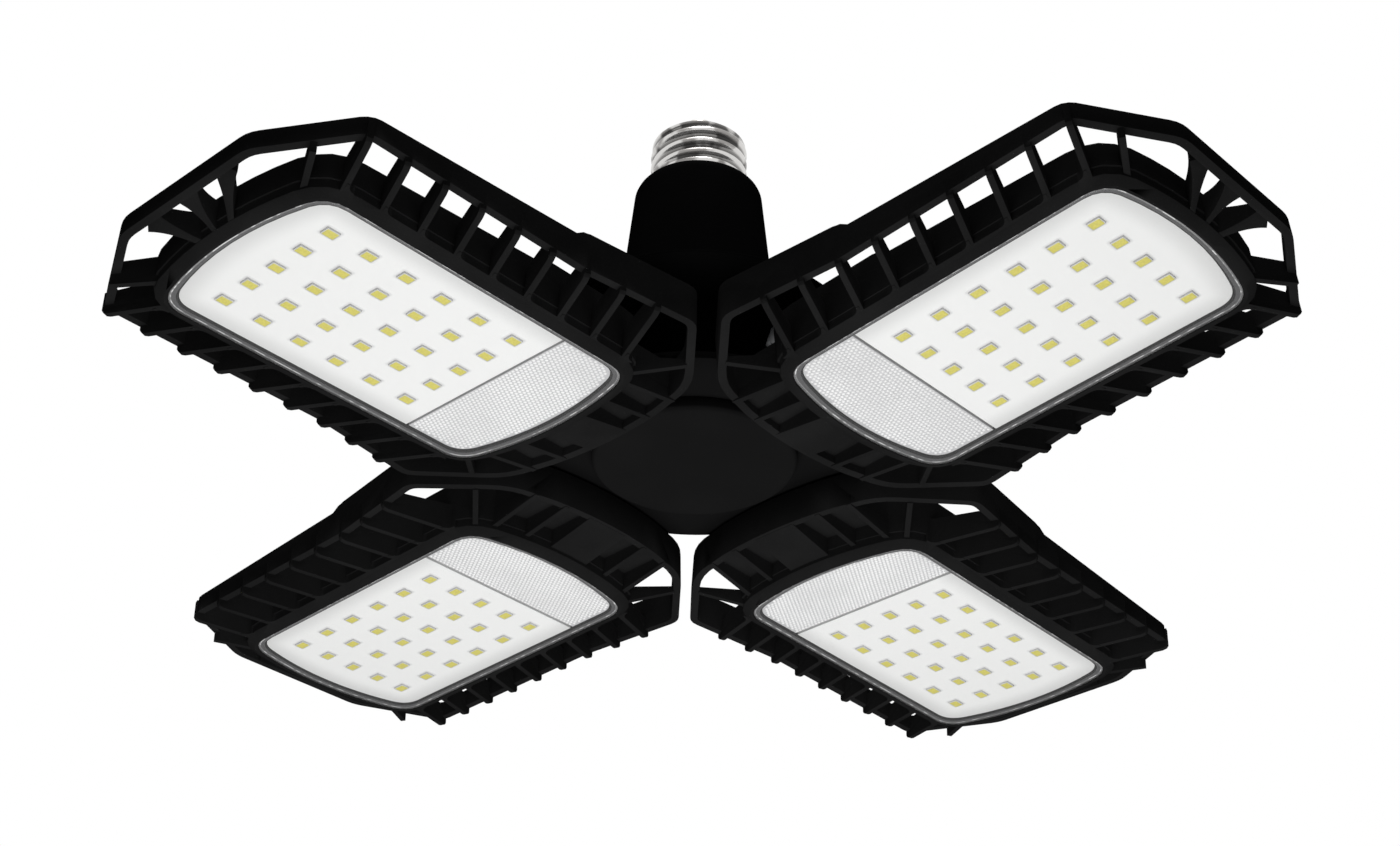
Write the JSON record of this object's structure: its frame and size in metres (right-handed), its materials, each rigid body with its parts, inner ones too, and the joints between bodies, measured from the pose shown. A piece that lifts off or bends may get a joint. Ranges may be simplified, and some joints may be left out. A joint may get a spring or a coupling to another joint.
{
  "type": "folding garage light",
  "caption": "Screw-in ceiling light: a spool-shaped hub below a screw base carries finned metal leaves with LED windows, each on its own friction hinge so it folds up.",
  "frame": {"origin": "on the hub's axis at the foot of the screw shell", "axes": "+Z along the screw base towards the lamp holder; the leaves point along +-X +-Y diagonals; -Y is the side seen in the picture"},
  "size_m": [0.2694, 0.2689, 0.1251],
  "materials": {
    "plated_shell": "nickel-plated, satin",
    "black_glass": "glossy black insulator",
    "solder": "dull tinned",
    "black_plastic": "fine satin black",
    "cap_plastic": "fine satin black",
    "circuit_board": "green solder mask",
    "zinc_steel": "zinc plated",
    "black_coated_metal": "matte black powder coat",
    "clear_cover": "clear polycarbonate",
    "grey_seal": "soft grey silicone",
    "prism_plastic": "frosted, finely dotted",
    "white_board": "white solder mask",
    "phosphor": "yellow phosphor",
    "black_steel": "satin black",
    "dark_steel": "dark zinc"
  },
  "bodies": {
    "hub": {"screw_shell": "plated_shell", "contact_insulator": "black_glass", "centre_contact": "solder", "neck_housing": "black_plastic", "hub_body": "black_plastic", "junction_board": "circuit_board", "lower_flange": "black_plastic", "bottom_cap": "cap_plastic", "hub_screws": "zinc_steel", "hinge_washers": "zinc_steel"},
    "front_left_leaf": {"front_left_frame": "black_coated_metal", "front_left_lens": "clear_cover", "front_left_lens_seal": "grey_seal", "front_left_prism_panel": "prism_plastic", "front_left_led_board": "white_board", "front_left_led_chips": "phosphor", "front_left_driver_board": "circuit_board", "front_left_driver_cover": "black_coated_metal", "front_left_hinge_bracket": "black_steel", "front_left_hinge_bolt": "dark_steel", "front_left_hinge_nut": "dark_steel", "front_left_leaf_screws": "zinc_steel"},
    "front_right_leaf": {"front_right_frame": "black_coated_metal", "front_right_lens": "clear_cover", "front_right_lens_seal": "grey_seal", "front_right_prism_panel": "prism_plastic", "front_right_led_board": "white_board", "front_right_led_chips": "phosphor", "front_right_driver_board": "circuit_board", "front_right_driver_cover": "black_coated_metal", "front_right_hinge_bracket": "black_steel", "front_right_hinge_bolt": "dark_steel", "front_right_hinge_nut": "dark_steel", "front_right_leaf_screws": "zinc_steel"},
    "rear_left_leaf": {"rear_left_frame": "black_coated_metal", "rear_left_lens": "clear_cover", "rear_left_lens_seal": "grey_seal", "rear_left_prism_panel": "prism_plastic", "rear_left_led_board": "white_board", "rear_left_led_chips": "phosphor", "rear_left_driver_board": "circuit_board", "rear_left_driver_cover": "black_coated_metal", "rear_left_hinge_bracket": "black_steel", "rear_left_hinge_bolt": "dark_steel", "rear_left_hinge_nut": "dark_steel", "rear_left_leaf_screws": "zinc_steel"},
    "rear_right_leaf": {"rear_right_frame": "black_coated_metal", "rear_right_lens": "clear_cover", "rear_right_lens_seal": "grey_seal", "rear_right_prism_panel": "prism_plastic", "rear_right_led_board": "white_board", "rear_right_led_chips": "phosphor", "rear_right_driver_board": "circuit_board", "rear_right_driver_cover": "black_coated_metal", "rear_right_hinge_bracket": "black_steel", "rear_right_hinge_bolt": "dark_steel", "rear_right_hinge_nut": "dark_steel", "rear_right_leaf_screws": "zinc_steel"}
  },
  "joints": [
    {"name": "front_left_hinge", "type": "hinge", "parent": "hub", "child": "front_left_leaf", "pos_m": [-0.02828, -0.02828, -0.072], "axis": [-0.7071, 0.7071, 0], "range_deg": [-5.25, 89.75]},
    {"name": "front_right_hinge", "type": "hinge", "parent": "hub", "child": "front_right_leaf", "pos_m": [0.02828, -0.02828, -0.072], "axis": [-0.7071, -0.7071, 0], "range_deg": [-10.5, 84.5]},
    {"name": "rear_left_hinge", "type": "hinge", "parent": "hub", "child": "rear_left_leaf", "pos_m": [-0.02828, 0.02828, -0.072], "axis": [0.7071, 0.7071, 0], "range_deg": [-3.25, 91.75]},
    {"name": "rear_right_hinge", "type": "hinge", "parent": "hub", "child": "rear_right_leaf", "pos_m": [0.02828, 0.02828, -0.072], "axis": [0.7071, -0.7071, 0], "range_deg": [-3.25, 91.75]}
  ]
}
